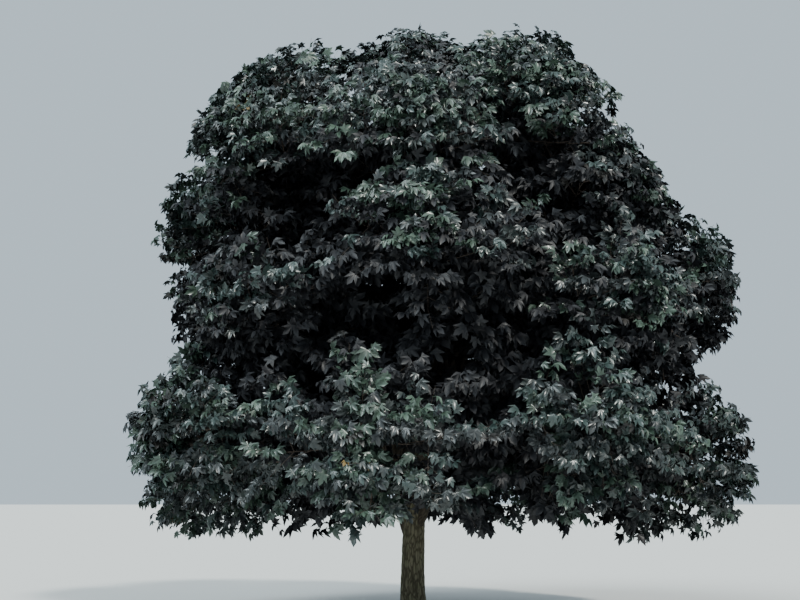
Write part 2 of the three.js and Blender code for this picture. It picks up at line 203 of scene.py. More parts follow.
# %% [markdown]
# ## Tiers under the crown's outline
#
# From the ground up the crown has a low tier that overhangs, two tiers that carry its sides, four
# masses that lean over the top, a crest and a small tuft on the leader. Each one touches the
# outline of the crown, which is widest low down and rounds over above its shoulder.

# %% Lay out the masses


def crown_reach(azimuth, height):
    """How far out the crown's outline stands in a direction, at a height."""
    level = 1 / math.hypot(math.cos(azimuth) / CROWN["reach_x"], math.sin(azimuth) / CROWN["reach_y"])
    over = max(0, height - CROWN["shoulder"]) / (CROWN["top"] - CROWN["shoulder"])
    return level * (1 - over ** CROWN["roundness"]) ** (1 / CROWN["roundness"])


def lay_tier(tier_index, tier):
    masses = []
    for k in range(tier["count"]):
        draw = seeded_draws(100 * (tier_index + 1) + k)
        jitter = GROWTH["azimuth_jitter"] * (2 * next(draw) - 1)
        azimuth = math.radians(tier["first"] + 360 / tier["count"] * k + jitter)
        swing = tier["zigzag"] if k % 2 == 0 else -tier["zigzag"]
        height = tier["height"] + swing + GROWTH["height_jitter"] * (2 * next(draw) - 1)
        size = 1 + GROWTH["size_jitter"] * (2 * next(draw) - 1)
        away = np.array([math.cos(azimuth), math.sin(azimuth), 0])
        tilt = math.radians(tier["tilt"])
        outward = away * math.cos(tilt) + UP * math.sin(tilt)
        reach = tier["spread"] * crown_reach(azimuth, height)
        halves = np.array(tier["halves"]) * size
        centre = np.array([tier["axis_x"], 0, height]) + away * reach - outward * halves[0]
        mass = dict(name=f"{tier['name']}_foliage_{k + 1}", tier=tier, index=k)
        mass.update(space=Space(centre, outward, halves), seed=7 * (100 * tier_index + k) + 3)
        masses.append(dict(mass, nodes=GROWTH["nodes"]))
    return masses


tiers = [lay_tier(i, tier) for i, tier in enumerate(TIERS)]
tuft = dict(name=TUFT["name"], space=Space(TUFT["centre"], np.array([1.0, 0, 0]), TUFT["halves"]))
tuft.update(seed=TUFT["seed"], nodes=TUFT["nodes"], tier=None)
masses = [mass for tier in tiers for mass in tier] + [tuft]
part_spaces([mass["space"] for mass in masses])
print("masses laid out:", len(masses))

# %% [markdown]
# ## Centre lines of the wood
#
# The trunk's line passes through its six named points as a smooth curve, and each limb is a Bezier
# curve that leaves steeply and arrives at the near edge of its mass, as a bough does when it bends
# out to the light. Points are spaced evenly along a line by measuring its length first.

# %% Draw the centre lines

LINE_STEPS = 200
LEAVE_PULL = 0.38  # how strongly a limb keeps the direction it leaves in
ARRIVE_PULL = 0.34


def trunk_curve(steps):
    """The trunk's smooth line, by the centripetal rule that keeps it free of loops."""
    before = 2 * TRUNK_LEAN[0] - TRUNK_LEAN[1]
    after = 2 * TRUNK_LEAN[-1] - TRUNK_LEAN[-2]
    knots = np.vstack([before, TRUNK_LEAN, after])
    spans = len(TRUNK_LEAN) - 1
    points = []
    for step in range(steps + 1):
        place = spans * step / steps
        span = min(int(place), spans - 1)
        w = place - span
        p0, p1, p2, p3 = knots[span:span + 4]
        d0, d1, d2 = (math.sqrt(np.linalg.norm(b - a)) for a, b in ((p0, p1), (p1, p2), (p2, p3)))
        t1 = ((p1 - p0) / d0 - (p2 - p0) / (d0 + d1) + (p2 - p1) / d1) * d1
        t2 = ((p2 - p1) / d1 - (p3 - p1) / (d1 + d2) + (p3 - p2) / d2) * d1
        cubic = (-3 * p1 + 3 * p2 - 2 * t1 - t2, 2 * p1 - 2 * p2 + t1 + t2)
        points.append(p1 + t1 * w + cubic[0] * w**2 + cubic[1] * w**3)
    return np.array(points)


def limb_curve(foot, leave, tip, arrive):
    span = np.linalg.norm(tip - foot)
    corners = [foot, foot + leave * span * LEAVE_PULL, tip - arrive * span * ARRIVE_PULL, tip]
    t = np.linspace(0, 1, LINE_STEPS + 1)[:, None]
    weights = ((1 - t) ** 3, 3 * (1 - t) ** 2 * t, 3 * (1 - t) * t**2, t**3)
    return sum(w * c for w, c in zip(weights, corners))


def along(line, share):
    """Points at even shares of a line's length."""
    steps = np.linalg.norm(np.diff(line, axis=0), axis=1)
    length = np.concatenate([[0], np.cumsum(steps)])
    at = np.asarray(share) * length[-1]
    return np.stack([np.interp(at, length, line[:, i]) for i in range(3)], axis=-1)


TRUNK_LINE = trunk_curve(10 * LINE_STEPS)


def trunk_at(height):
    return np.stack([np.interp(height, TRUNK_LINE[:, 2], TRUNK_LINE[:, i]) for i in range(3)], axis=-1)


print("trunk's length along its lean:", np.linalg.norm(np.diff(TRUNK_LINE, axis=0), axis=1).sum())

# %% [markdown]
# Each mass now gets its limb. Boughs that stand side by side leave the trunk well apart in height,
# as they do on a tree, so their heights are dealt out in steps of three.

# %% Lay out the limbs

HEIGHT_STEP = 3
HEIGHT_START = 6


def limb_of(mass, parents):
    tier, space = mass["tier"], mass["space"]
    outward = space.axes[0]
    tip = space.centre - outward * space.room(space.centre, -outward)[0]
    if "leaves" in tier:
        turn = (mass["index"] * HEIGHT_STEP + HEIGHT_START) % tier["count"]
        foot = trunk_at(blend(*tier["leaves"], turn / max(1, tier["count"] - 1)))
    else:
        foot = along(parents[mass["index"]]["line"], tier["share"])
    heading = unit((tip - foot) * [1, 1, 0])
    angle = math.radians(tier["angle"])
    leave = heading * math.cos(angle) + UP * math.sin(angle)
    name = f"{tier['name']}_{tier['limb']}_{mass['index'] + 1}"
    line = limb_curve(foot, leave, tip, outward)
    return dict(name=name, line=line, radii=tier["radii"], heading=heading)


limbs = []
for tier in tiers:
    parents = limbs[-len(tier):]
    for mass in tier:
        limb = limb_of(mass, parents)
        end = limb["line"][-1]
        mass["foot"] = end + unit(end - limb["line"][-2]) * GROWTH["joint_gap"]
        mass["stem_radius"] = limb["radii"][1]
        limbs.append(limb)
tuft["foot"] = trunk_at(TRUNK["tip"]) + UP * GROWTH["joint_gap"]
tuft["stem_radius"] = TRUNK["tip_radius"]

for limb in limbs[:3]:
    low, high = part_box(limb["name"])
    tip = limb["line"][-1]
    inside = (tip > np.array(low) - 0.001).all() and (tip < np.array(high) + 0.001).all()
    print(limb["name"], "tip inside its solid's box:", bool(inside))

# %% [markdown]
# ## Arithmetic for materials
#
# A material is a small network of nodes. Wiring it by hand hides what it does, so one class wraps
# a socket and lets us write plain sums on it. Its node method makes any other kind of node.

# %% Wrap a socket so that it can be added and multiplied


class Signal:
    def __init__(self, tree, socket):
        self.tree = tree
        self.socket = socket

    def node(self, kind, settings, inputs, output=0):
        """Add a node: settings first, then values or links for its sockets."""
        made = self.tree.nodes.new(kind)
        for name, value in settings.items():
            setattr(made, name, value)
        for name, value in inputs.items():
            if isinstance(value, Signal):
                self.tree.links.new(value.socket, made.inputs[name])
            else:
                made.inputs[name].default_value = value
        return Signal(self.tree, made.outputs[output])

    def math(self, operation, a, b):
        return self.node("ShaderNodeMath", {"operation": operation}, {0: a, 1: b})

    def mix(self, share, first, second):
        """A colour between two others."""
        sockets = {0: share, 6: first, 7: second}
        return self.node("ShaderNodeMix", {"data_type": "RGBA"}, sockets, output=2)

    def cloud(self, scale, detail):
        sockets = {"Vector": self, "Scale": scale, "Detail": detail}
        return self.node("ShaderNodeTexNoise", {}, sockets)

    def feed(self, socket):
        self.tree.links.new(self.socket, socket)

    def __add__(self, other):
        return self.math("ADD", self, other)

    def __radd__(self, other):
        return self.math("ADD", other, self)

    def __sub__(self, other):
        return self.math("SUBTRACT", self, other)

    def __rsub__(self, other):
        return self.math("SUBTRACT", other, self)

    def __mul__(self, other):
        return self.math("MULTIPLY", self, other)

    def __rmul__(self, other):
        return self.math("MULTIPLY", other, self)


# %% [markdown]
# Two helpers go with it. One starts a material: what is the same all over goes straight to its
# shader, and patterns read Object coordinates. The other turns chart colours into linear light.

# %% Start a material and name a colour


def new_material(name, **constants):
    """The material, its shader with plain values set, and the wire of Object coordinates."""
    material = bpy.data.materials.new(name)
    material.use_nodes = True
    tree = material.node_tree
    shader = tree.nodes["Principled BSDF"]
    for socket, value in constants.items():
        shader.inputs[socket.replace("_", " ")].default_value = value
    place = tree.nodes.new("ShaderNodeTexCoord").outputs["Object"]
    return material, shader, Signal(tree, place)


def linear(red, green, blue):
    """Turn an sRGB colour from 0 to 255 into linear light, with alpha."""
    shares = (value / 255 for value in (red, green, blue))
    light = [s / 12.92 if s < 0.04045 else ((s + 0.055) / 1.055) ** 2.4 for s in shares]
    return (*light, 1)


print("a middle grey in linear light:", linear(128, 128, 128))

# %% [markdown]
# ## Bark
#
# Old bark of this kind is a grey-brown net of narrow ridges with dark furrows between them, longer
# than they are wide. Young boughs are smoother, and darker, partly by their own colour and partly by
# painted shade. The ridges are real relief in the mesh, and every mesh point remembers how deep in
# a furrow it lies, so that colour and roughness can follow: furrows are dark, ridge tops are
# weathered grey, and a little green algae grows on them. Higher up, inside the crown, the bark is
# painted darker as shade.

# %% Mix the bark material

FIBRE_SCALE = 90  # features for each metre
FLAKE_SCALE = 60
PATCH_SCALE = 7
FIBRE_STRETCH = (1, 1, 0.25)
# painted shade: the bark darkens from the first height to the second and stays dark above it, for the
# crown's shade
DARKENS_FROM = 1.5  # metres above the ground
DARKENS_TO = 3.2
HIGH_BARK_SHADE = 0.45
ALGAE_SHARE = 0.55
GRAIN_DEPTH = 0.004


def bark_material(name, ridge, furrow, algae):
    material, shader, place = new_material(name, Specular_IOR_Level=0.3)
    depth = place.node("ShaderNodeAttribute", {"attribute_name": "furrow"}, {}, output="Fac")
    stretched = place.node("ShaderNodeMapping", {}, {"Vector": place, "Scale": FIBRE_STRETCH})
    fibres = stretched.cloud(FIBRE_SCALE, 6)
    patches = place.cloud(PATCH_SCALE, 4)
    cells = {"Vector": stretched, "Scale": FLAKE_SCALE}
    flakes = place.node("ShaderNodeTexVoronoi", {"feature": "F1"}, cells)
    height = place.node("ShaderNodeSeparateXYZ", {}, {"Vector": place}, output=2)
    climb = {"Value": height, "From Min": DARKENS_FROM, "From Max": DARKENS_TO}
    climb.update({"To Min": 1.0, "To Max": HIGH_BARK_SHADE})
    # painted shade: the bark's tone falls with height, for the shade under the crown
    shade = place.node("ShaderNodeMapRange", {}, climb)
    tone = (0.62 + 0.5 * fibres + 0.16 * flakes) * shade
    wood = place.mix(depth, ridge, furrow)
    green = place.node("ShaderNodeMapRange", {}, {"Value": patches, "From Min": 0.5, "From Max": 0.72})
    mossy = place.mix(green * (1 - depth) * ALGAE_SHARE, wood, algae)
    colour = place.node("ShaderNodeVectorMath", {"operation": "SCALE"}, {0: mossy, "Scale": tone})
    colour.feed(shader.inputs["Base Color"])
    rough = 0.78 + 0.2 * depth - 0.1 * flakes
    rough.feed(shader.inputs["Roughness"])
    grain = fibres * 0.6 + flakes * 0.4
    relief = {"Height": grain, "Strength": 0.55, "Distance": GRAIN_DEPTH}
    bump = place.node("ShaderNodeBump", {}, relief)
    bump.feed(shader.inputs["Normal"])
    return material


old_bark = bark_material("old_bark", linear(124, 118, 96), linear(72, 67, 53), linear(104, 112, 76))
# young bark is darker than old, partly by its own colour and partly as painted shade for boughs inside
# the crown
young_bark_and_shade = bark_material("young_bark_and_shade", linear(84, 76, 64), linear(48, 42, 34), linear(76, 80, 58))
print("bark materials:", old_bark.name, young_bark_and_shade.name)

# %% [markdown]
# ## Relief of the bark
#
# Bark splits because the wood under it grows thicker, and the splits join up into a net. The edges
# between the cells of a Voronoi pattern make such a net. It is stretched upwards and its lines are
# bent a little by noise, or they would look ruled. Broad lumps keep the wood from looking turned.

# %% Measure furrows and lumps

RIDGE_SIZE = 0.03  # spacing of the bark's furrows round the wood
RIDGE_STRETCH = 0.24  # furrows are about four times as long as they are wide
FURROW_WANDER = 0.55  # how far furrows stray from ruled lines, for one spacing
FURROW_BENDS = 0.7  # bends for one spacing
FURROW_WIDTH = 0.42
NOISE_SEED = 7
noise.seed_set(NOISE_SEED)  # or the furrows would differ from run to run


def furrow_depth(points):
    """How deep in a furrow each point lies, from 0 on a ridge to 1 in the bottom of a furrow."""
    depths = np.empty(len(points))
    for i, (x, y, z) in enumerate(points):
        place = Vector((x / RIDGE_SIZE, y / RIDGE_SIZE, z * RIDGE_STRETCH / RIDGE_SIZE))
        place += FURROW_WANDER * noise.noise_vector(place * FURROW_BENDS)
        near, second = noise.voronoi(place)[0][:2]
        depths[i] = 1 - min(1, (second - near) / FURROW_WIDTH)
    return depths * depths * (3 - 2 * depths)


def lumps(points, scale):
    """Broad swellings and hollows from about -1 to 1, this many for a metre."""
    return np.array([noise.noise(Vector(point) * scale) for point in points])


print("furrow depth at two places:", furrow_depth([(0.17, 0, 1), (0.17, 0, 1.05)]))

# %% [markdown]
# ## Wood with relief
#
# A flat grid is rolled round a centre line: its width becomes the girth and its length runs up the
# limb. The seam is then merged and both ends are filled, which leaves one closed skin. The shape of
# each limb is a function that says where a point of the grid goes.

# %% Roll grids into limbs


def rolled_skin(sides, rings, shape):
    """A closed tube: shape(around, along) gives the place and the furrow depth of its points."""
    mesh = bmesh.new()
    bmesh.ops.create_grid(mesh, x_segments=sides, y_segments=rings, size=0.5)
    flat = np.array([vertex.co[:2] for vertex in mesh.verts]) + 0.5
    around = np.round(flat[:, 0] * sides) / sides
    places, depths = shape(around % 1.0, flat[:, 1])
    layer = mesh.verts.layers.float.new("furrow")
    for vertex, place, depth in zip(mesh.verts, places, depths):
        vertex.co = place
        vertex[layer] = depth
    bmesh.ops.remove_doubles(mesh, verts=mesh.verts, dist=TINY)
    rims = [edge for edge in mesh.edges if edge.is_boundary]
    caps = bmesh.ops.holes_fill(mesh, edges=rims, sides=0)["faces"]
    bmesh.ops.triangulate(mesh, faces=caps)
    bmesh.ops.recalc_face_normals(mesh, faces=mesh.faces)
    return mesh


def finished_mesh(name, mesh):
    """Turn a bmesh into the mesh of an object."""
    data = bpy.data.meshes.new(name)
    mesh.to_mesh(data)
    mesh.free()
    return data


def add_piece(name, data, materials, nodes):
    """Make a finished mesh a piece of the tree that stands for its solids."""
    piece = bpy.data.objects.new(name, data)
    bpy.context.scene.collection.objects.link(piece)
    for material in materials:
        data.materials.append(material)
    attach(piece, "root")
    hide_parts(*nodes)
    return piece


def add_limb(name, mesh, material, nodes):
    data = finished_mesh(name, mesh)
    data.shade_smooth()
    return add_piece(name, data, [material], nodes)


# %% [markdown]
# ## The trunk
#
# The trunk stands on a flat cut, flares into five low buttresses at the ground, keeps its girth to
# the fork and then thins as the leader. Rings are close together in the lowest two metres, where
# the bark is seen, and far apart above. The relief fades as the leader thins.

# %% Make the trunk

TRUNK_SIDES = 132
TRUNK_RINGS = 380
RING_CROWDING = 1.9  # above 1 the rings crowd towards the ground
BARK_DEPTH = 0.006
BARK_INSET = 0.006  # keeps the swellings inside the solid
SWELLING = 0.006
SWELLING_SCALE = 5.0
BUTTRESS = dict(between=0.7, swell=0.3, turn=0.6)


def trunk_shape(around, share):
    height = TRUNK["tip"] * share**RING_CROWDING
    angle = 2 * math.pi * around
    up = height / TRUNK["tip"]
    plain = blend(TRUNK["foot_radius"], TRUNK["tip_radius"], up ** TRUNK["taper"])
    ridge = np.cos(TRUNK["buttresses"] * angle + BUTTRESS["turn"])
    ridge = BUTTRESS["between"] + BUTTRESS["swell"] * ridge
    flare = TRUNK["flare"] * ridge * np.exp(-height / TRUNK["flare_height"])
    out = np.stack([np.cos(angle), np.sin(angle), np.zeros_like(angle)], axis=1)
    middle = trunk_at(height)
    smooth = middle + out * (plain + flare)[:, None]
    depths = furrow_depth(smooth)
    swell = lumps(smooth, SWELLING_SCALE) * SWELLING
    thick = np.clip(plain / TRUNK["foot_radius"], 0, 1)
    skin = plain + flare + swell * thick - BARK_DEPTH * depths * thick - BARK_INSET * thick
    places = middle + out * skin[:, None]
    places[:, 2] = height
    return places, depths


trunk_skin = rolled_skin(TRUNK_SIDES, TRUNK_RINGS, trunk_shape)
trunk = add_limb("trunk_bark", trunk_skin, old_bark, ["trunk"])
print("trunk faces", len(trunk.data.polygons))

# %% [markdown]
# ## The boughs
#
# A bough's skin is rolled the same way, with a frame that never twists: one side is level, because
# each bough bends in an upright plane. Where it leaves its parent it swells into a collar. Its
# furrows are shallower than the trunk's, and it has a few knobs where old twigs broke off.

# %% Make the boughs

BOUGH_SIDES = 22
THIN_BOUGH_SIDES = 16
BOUGH_RINGS = 64
THICK_BOUGH = 0.06  # metres of radius; furrows fade on thinner wood
FADED_FURROWS = 0.25
BOUGH_TAPER = 0.8
COLLAR = 0.55  # of the foot's radius
COLLAR_LENGTH = 2.2  # foot radii
KNOBS = 0.07  # of the radius
KNOB_SCALE = 9.0
BOUGH_FURROWS = 0.06  # of the radius
LOOK_AHEAD = 0.01  # of the length


def bough_skin(limb, sides):
    level = unit(np.cross(UP, limb["heading"]))
    foot_radius, tip_radius = limb["radii"]
    length = np.linalg.norm(np.diff(limb["line"], axis=0), axis=1).sum()

    def shape(around, share):
        middle = along(limb["line"], share)
        ahead = along(limb["line"], np.minimum(share + LOOK_AHEAD, 1))
        ahead = ahead - along(limb["line"], np.maximum(share - LOOK_AHEAD, 0))
        above = unit(np.cross(unit(ahead), level))
        angle = (2 * math.pi * around)[:, None]
        out = level * np.cos(angle) + above * np.sin(angle)
        radius = blend(foot_radius, tip_radius, share**BOUGH_TAPER)
        collar = COLLAR * foot_radius * np.exp(-share * length / (COLLAR_LENGTH * foot_radius))
        smooth = middle + out * (radius + collar)[:, None]
        depths = furrow_depth(smooth) * np.clip(radius / THICK_BOUGH, FADED_FURROWS, 1)
        knobs = lumps(smooth, KNOB_SCALE) * KNOBS * radius
        skin = radius + collar + knobs - BOUGH_FURROWS * radius * depths
        return middle + out * skin[:, None], depths

    return rolled_skin(sides, BOUGH_RINGS, shape)


for limb in limbs:
    sides = BOUGH_SIDES if limb["radii"][0] > THICK_BOUGH else THIN_BOUGH_SIDES
    add_limb(limb["name"] + "_bark", bough_skin(limb, sides), young_bark_and_shade, [limb["name"]])
print("boughs", len(limbs))

# %% [markdown]
# ## Twigs
#
# Maples branch in opposite pairs, each pair turned a quarter from the last. The solids already
# carry the first twigs of each mass. We grow them again from the same draws, then let each one
# carry side twigs, and those carry shoots, always asking the space how much room is left. Finer
# twigs lean towards the light and lie flatter, which gives the foliage its shelves.

# %% Grow the first twigs as the solids have them


def first_twigs(mass):
    space, foot = mass["space"], mass["foot"]
    draw = seeded_draws(mass["seed"])
    outward, across, upward = space.axes
    stem_tip = space.centre + outward * GROWTH["stem_share"] * space.room(space.centre, outward)[0]
    starts, directions, lengths = [], [], []

    def grow(start, direction):
        share = GROWTH["reach"][0] + GROWTH["reach"][1] * next(draw)
        starts.append(start)
        directions.append(direction)
        lengths.append(share * space.room(start, direction)[0])

    for node in range(mass["nodes"]):
        share = node / (mass["nodes"] - 1)
        start = blend(foot, stem_tip, blend(GROWTH["start"], GROWTH["end"], share))
        splay = math.radians(blend(*GROWTH["splay"], share))
        for side in range(2):
            roll = math.radians(90 * node + 180 * side + GROWTH["roll"] * (2 * next(draw) - 1))
            sideways = across * math.cos(roll) + upward * math.sin(roll)
            grow(start, unit(outward * math.cos(splay) + sideways * math.sin(splay)))
    grow(stem_tip, outward)
    twigs = dict(start=np.array(starts), direction=np.array(directions), length=np.array(lengths))
    return stem_tip, twigs


print("first twigs of a mass:", len(first_twigs(masses[0])[1]["length"]))

# %% [markdown]
# The next helper grows one more order on a whole batch of twigs at once. It works on arrays, because
# a crown has thousands of twigs, and a loop over them one by one would take minutes. Two things
# keep the crown from looking clipped: some shoots stray a hand's breadth out of their mass, which
# makes the outline ragged, and the lower edge rises over the fork, so that the boughs show there.

# %% Grow side twigs on a batch of twigs

BOX_MARGIN = 0.004
BOX_LOW = np.array(size_at_start[0]) + BOX_MARGIN
BOX_HIGH = np.array(size_at_start[1]) - BOX_MARGIN
FORK_LIFT = 0.3  # how far the crown's lower edge rises over the trunk's fork
FORK_WIDTH = 0.6
STRAY_SHARE = 0.3  # of the shoots may stray
ROLL_JITTER = 0.4  # radians
SHELF_RISE = 0.3  # how much the pairs of a flat spray still turn up and down
LEADING_SPLAY = 12  # degrees, for the twig that carries another on
SPLAY_JITTER = (0.75, 1.2)
LENGTH_JITTER = (0.7, 1.15)
LIGHT_PULL = 0.12
SPRAY_NUMBERS = 16  # numbers kept for the sprays of one twig


def together(*batches):
    return {name: np.concatenate([batch[name] for batch in batches]) for name in batches[0]}


def clear_of_fork(points):
    """Few sprays hang in front of the fork or behind it, so it shows under the crown."""
    edge = CROWN["foot"] + FORK_LIFT * np.exp(-((points[:, 0] / FORK_WIDTH) ** 2))
    return points[:, 2] > edge


def side_twigs(batch, space, rng, rule):
    """Opposite pairs at the rule's places on each twig, and one that carries the twig on."""
    parts = []
    level = unit(np.cross(UP, batch["direction"]))
    above = np.cross(batch["direction"], level)
    count = len(level)
    quarter_turn = 0 if rule["flat"] else 90
    splay = math.radians(rule["splay"])
    for node, place in enumerate(rule["places"] + [1.0]):
        sides = (0, 1) if place < 1 else (0,)
        for side in sides:
            roll = math.radians(quarter_turn * node + 180 * side) + rng.normal(0, ROLL_JITTER, count)
            rise = np.sin(roll) * (SHELF_RISE if rule["flat"] else 1.0)
            angle = splay if place < 1 else math.radians(LEADING_SPLAY)
            angle = angle * rng.uniform(*SPLAY_JITTER, count)
            sideways = level * np.cos(roll)[:, None] + above * rise[:, None]
            grown = batch["direction"] * np.cos(angle)[:, None] + sideways * np.sin(angle)[:, None]
            grown = unit(grown + rule["lean"] * space.axes[0] + LIGHT_PULL * UP)
            start = batch["start"] + batch["direction"] * (batch["length"] * place)[:, None]
            room = space.room(start, grown) + rule["stray"] * (rng.random(count) < STRAY_SHARE)
            wanted = rule["longest"] * rng.uniform(*LENGTH_JITTER, count)
            length = np.minimum(wanted, rule["share"] * room)
            spray = batch.get("spray", np.arange(count) * SPRAY_NUMBERS + 2 * node + side)
            parts.append(dict(start=start, direction=grown, length=length, spray=spray))
    twigs = together(*parts)
    ends = twigs["start"] + twigs["direction"] * twigs["length"][:, None]
    keep = ((ends > BOX_LOW) & (ends < BOX_HIGH)).all(1) & clear_of_fork(ends)
    keep = keep & (twigs["length"] > rule["shortest"]) & space.holds(twigs["start"])
    return {name: values[keep] for name, values in twigs.items()}


print("twigs stay between", BOX_LOW, "and", BOX_HIGH)

# %% [markdown]
# ## Thin wood as one mesh
#
# Every twig is a three-sided stick that tapers. Thousands of them would be slow as objects of their
# own, so all twigs of a mass become one mesh, straight from arrays of corner points and quads.

# %% Join sticks into one mesh

STICK_SIDES = 3


def stick_arrays(batch, thick, thin, segments):
    """Corner points and quads of three-sided tapering sticks."""
    direction = batch["direction"]
    level = unit(np.cross(UP, direction) + TINY)
    above = np.cross(direction, level)
    rings = []
    for step in range(segments + 1):
        share = step / segments
        middle = batch["start"] + direction * (batch["length"] * share)[:, None]
        radius = blend(thick, thin, share)
        for corner in range(STICK_SIDES):
            angle = 2 * math.pi * corner / STICK_SIDES
            rings.append(middle + radius * (level * math.cos(angle) + above * math.sin(angle)))
    points = np.stack(rings, axis=1).reshape(-1, 3)
    quads = []
    for step in range(segments):
        for corner in range(STICK_SIDES):
            low = STICK_SIDES * step + corner
            low_after = STICK_SIDES * step + (corner + 1) % STICK_SIDES
            quads.append([low, low_after, low_after + STICK_SIDES, low + STICK_SIDES])
    faces = np.arange(len(direction))[:, None, None] * len(rings) + np.array(quads)[None]
    return points, faces.reshape(-1, 4)


def joined_mesh(name, points, faces, slots=None):
    """One mesh from an array of points and an array of faces that all have as many corners."""
    data = bpy.data.meshes.new(name)
    corners = faces.shape[1]
    data.vertices.add(len(points))
    data.vertices.foreach_set("co", points.astype(np.float32).ravel())
    data.loops.add(faces.size)
    data.loops.foreach_set("vertex_index", faces.astype(np.int32).ravel())
    data.polygons.add(len(faces))
    data.polygons.foreach_set("loop_start", np.arange(0, faces.size, corners, dtype=np.int32))
    if slots is not None:
        data.polygons.foreach_set("material_index", slots.astype(np.int32))
    data.update(calc_edges=True)
    data.validate()
    return data


# %% [markdown]
# ## The leaf
#
# A leaf of this maple is about as wide as it is long, with five pointed lobes and a few coarse
# teeth. It is pleated: every lobe's vein is a fold, and the skin between two lobes stands a little
# higher. So a fan of triangles round the stalk's end, with the lobe tips lowered, is a fair leaf.
# One half is named here as a few corners. A bmesh joins them to a fan and mirrors it.

# %% Shape one leaf

LEAF_WIDTH = 0.128
STALK_END = (0, 0, 0.02)
HALF_LEAF = [
    # across, along, height
    (0.0, 0.92, -0.34),  # tip of the middle lobe
    (0.21, 0.64, -0.14),  # its tooth
    (0.17, 0.42, 0.06),  # bay between the lobes
    (0.51, 0.57, -0.28),  # tip of the side lobe
    (0.33, 0.19, 0.05),  # bay
    (0.48, -0.12, -0.2),  # tip of the lowest lobe, which also bounds the heart-shaped base
]


def leaf_shape():
    mesh = bmesh.new()
    stalk_end = mesh.verts.new(STALK_END)
    rim = [mesh.verts.new(corner) for corner in HALF_LEAF]
    for a, b in zip(rim[:-1], rim[1:]):
        mesh.faces.new((stalk_end, b, a))
    bmesh.ops.mirror(mesh, geom=mesh.verts[:] + mesh.edges[:] + mesh.faces[:], axis="X", merge_dist=1e-4)
    bmesh.ops.recalc_face_normals(mesh, faces=mesh.faces)
    if sum(face.normal.z for face in mesh.faces) < 0:
        bmesh.ops.reverse_faces(mesh, faces=mesh.faces)
    mesh.verts.index_update()
    points = np.array([vertex.co for vertex in mesh.verts])
    faces = np.array([[vertex.index for vertex in face.verts] for face in mesh.faces])
    mesh.free()
    return points * LEAF_WIDTH, faces


LEAF_POINTS, LEAF_FACES = leaf_shape()
print("one leaf:", len(LEAF_POINTS), "points,", len(LEAF_FACES), "faces")

# %% [markdown]
# ## Leaf colours
#
# The leaves are nearly black with a purple cast, and a waxy skin that throws the sky back as a cool
# grey. No two sprays are quite alike, and a few have begun to turn. The ones deep inside, where
# little light comes, get the darkest tint as painted shade. Each tint is one plain finish that is
# dealt out to whole sprays, so the colours stay in place on every leaf of the joined mesh.

# %% Mix the leaf tints

WAX_ROUGHNESS = 0.24


def leaf_material(name, colour, roughness, coat):
    finish = dict(Base_Color=linear(*colour), Roughness=roughness, Specular_IOR_Level=0.5)
    return new_material(name, **finish, Coat_Weight=coat, Coat_Roughness=WAX_ROUGHNESS)[0]


LEAF_TINTS = [
    # name, sRGB colour, roughness, coat, share of the sprays; the first is painted shade, for deep
    # shoots only
    ("leaf_shade", (19, 20, 25), 0.60, 0.05, 0.0),
    ("leaf_plum_black", (31, 37, 38), 0.52, 0.6, 0.22),
    ("leaf_plum", (38, 46, 45), 0.52, 0.5, 0.20),
    ("leaf_slate", (44, 59, 56), 0.50, 0.6, 0.26),
    ("leaf_bronze_green", (49, 66, 55), 0.50, 0.5, 0.22),
    ("leaf_wine", (49, 47, 45), 0.52, 0.4, 0.04),
    ("leaf_grey_green", (68, 86, 74), 0.50, 0.4, 0.08),
    ("leaf_turning", (108, 88, 46), 0.6, 0.0, 0.004),
]
leaf_materials = [leaf_material(*tint[:4]) for tint in LEAF_TINTS]
TINT_SHARES = np.array([tint[4] for tint in LEAF_TINTS])
TINT_SHARES = TINT_SHARES / TINT_SHARES.sum()
print("leaf tints:", len(leaf_materials))

# %% [markdown]
# A twig's bark is too thin to split. It is a dull brown with paler streaks that are also a little
# rougher, so one noise serves for both.

# %% Mix the twigs' bark

STREAK_SCALE = 40


def twig_material():
    material, shader, place = new_material("twig_bark")
    streaks = place.cloud(STREAK_SCALE, 3)
    colour = place.mix(streaks, linear(58, 46, 42), linear(92, 82, 72))
    colour.feed(shader.inputs["Base Color"])
    rough = 0.6 + 0.25 * streaks
    rough.feed(shader.inputs["Roughness"])
    return material


twig_bark = twig_material()
print("twig material:", twig_bark.name)

# %% [markdown]
# ## Light and shade among the leaves
#
# A dense crown is nearly black inside and in the hollows under its masses. Lamps alone can't make
# it so, because a real crown has many more leaves than ours to stop the light. So a shoot that
# stands deep in the crown takes the darkest tint, which is painted shade, and under a mass's middle
# it does so even further out. The lowest tier is the exception, since the pale ground lights it from
# below.

# %% Deal out the tints

CROWN_MIDDLE = np.array([0.4, 0.0, 3.7])  # of an ellipsoid that stands for the whole crown
CROWN_HALVES = np.array([4.0, 3.9, 4.4])
# below this limit a shoot gets the painted-shade tint
SHADE_LIMIT = 0.86  # shoots less far out than this are in deep shade
SHADE_JITTER = 0.05
UNDERSIDE_SHADE = 0.3  # how fast that limit moves out below a mass's middle
UNDERSIDE_START = 0.1  # of the mass's half height, above its middle
UNDERSIDE_MOST = 0.8
SPRAY_TINT_SHARE = 0.55  # of the shoots have the tint of their spray


def how_far_out(points):
    """0 in the crown's middle, about 1 at its outline."""
    return np.linalg.norm((points - CROWN_MIDDLE) / CROWN_HALVES, axis=1)


